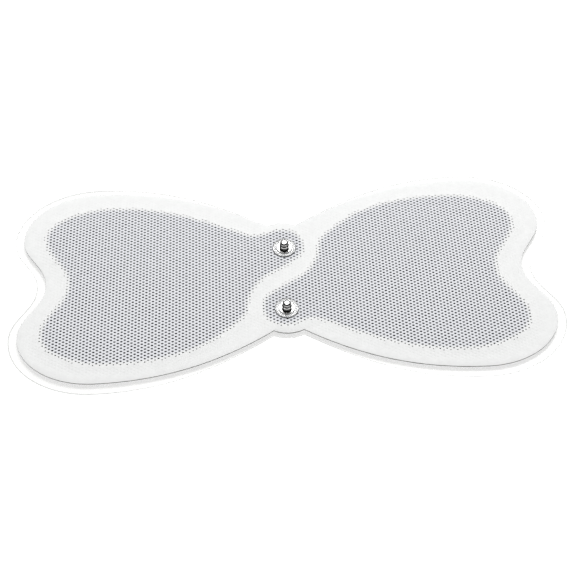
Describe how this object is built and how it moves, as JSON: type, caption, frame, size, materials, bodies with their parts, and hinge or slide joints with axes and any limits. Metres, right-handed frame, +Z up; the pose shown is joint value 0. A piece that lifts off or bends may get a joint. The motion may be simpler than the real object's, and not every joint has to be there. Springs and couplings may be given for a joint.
{
  "type": "tens electrode pad",
  "caption": "Butterfly-shaped electrode pad with a perforated cloth cover over carbon film wings, gel underside on a clear liner, and snap studs at the waist.",
  "frame": {"origin": "middle of the liner's underside, midway between the ends and between the long sides", "axes": "+X along the pad towards the right wing, whose stud is the one towards -Y; +Y across the pad from the right wing's stud to the left wing's stud; +Z up, out of the cloth along the studs"},
  "size_m": [0.2232, 0.105, 0.006],
  "materials": {
    "liner": "clear thin release film, glossy",
    "gel": "translucent milky hydrogel, wet and smooth",
    "carbon": "black conductive carbon film, satin",
    "cloth": "white perforated nonwoven cloth, matt",
    "clear_plastic": "clear plastic, glossy",
    "nickel": "nickel-plated brass, polished",
    "patch": "white insulating tape, matt"
  },
  "bodies": {
    "root": {"release_liner": "liner", "gel_right": "gel", "gel_left": "gel", "carbon_film_right": "carbon", "carbon_film_left": "carbon", "cover_cloth": "cloth", "washer_right": "clear_plastic", "washer_left": "clear_plastic", "stud_right": "nickel", "stud_left": "nickel", "rivet_right": "nickel", "rivet_left": "nickel", "rivet_patch_right": "patch", "rivet_patch_left": "patch"}
  },
  "joints": []
}
